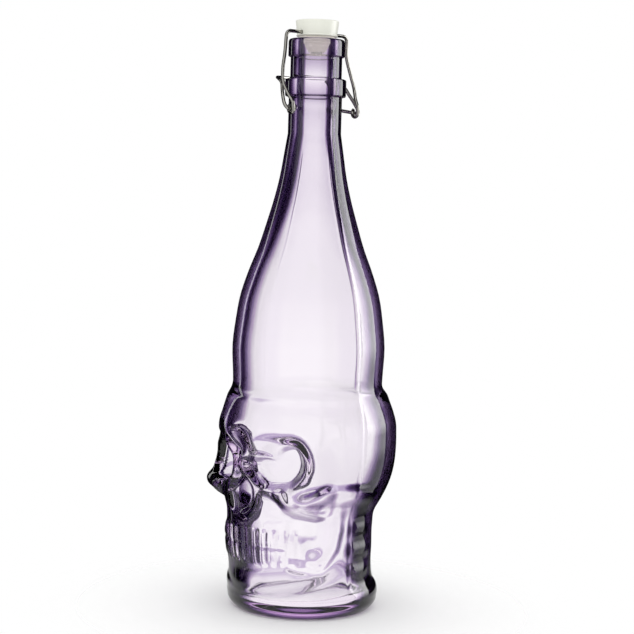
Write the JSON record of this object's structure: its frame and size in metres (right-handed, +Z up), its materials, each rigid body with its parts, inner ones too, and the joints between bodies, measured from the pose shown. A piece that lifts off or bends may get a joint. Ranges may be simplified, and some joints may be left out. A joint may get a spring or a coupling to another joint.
{
  "type": "skull bottle",
  "caption": "Tall lilac glass bottle whose lower part is moulded as a skull, with a white swing-top stopper held by bent wires.",
  "frame": {"origin": "centre of the base, on the surface the bottle stands on", "axes": "+Z up along the neck, the skull faces -Y, the lever's bow is on the -X side of the neck"},
  "size_m": [0.092, 0.1026, 0.321],
  "materials": {
    "lilac_glass": "clear blown glass, fire-polished",
    "steel_wire": "bright drawn wire",
    "white_plastic": "satin moulded",
    "clear_silicone": "translucent, matte"
  },
  "bodies": {
    "bottle": {"bottle_glass": "lilac_glass"},
    "lever": {"lever_wire": "steel_wire"},
    "bail": {"bail_wire": "steel_wire"},
    "stopper": {"stopper_head": "white_plastic", "stopper_seal": "clear_silicone"}
  },
  "joints": [
    {"name": "lever_swing", "type": "hinge", "parent": "bottle", "child": "lever", "pos_m": [0, 0, 0.2736], "axis": [0, -1, 0], "range_deg": [0, 80]},
    {"name": "bail_swing", "type": "hinge", "parent": "lever", "child": "bail", "pos_m": [0.0072, 0, 0.2724], "axis": [0, -1, 0], "range_deg": [-84, 0]},
    {"name": "stopper_tilt", "type": "hinge", "parent": "bail", "child": "stopper", "pos_m": [0, 0, 0.3142], "axis": [0, -1, 0], "range_deg": [0, 3]}
  ],
  "couplings": [
    {"joint": "bail_swing", "follows": "lever_swing", "ratio": -1.03},
    {"joint": "stopper_tilt", "follows": "lever_swing", "ratio": 0.03}
  ]
}
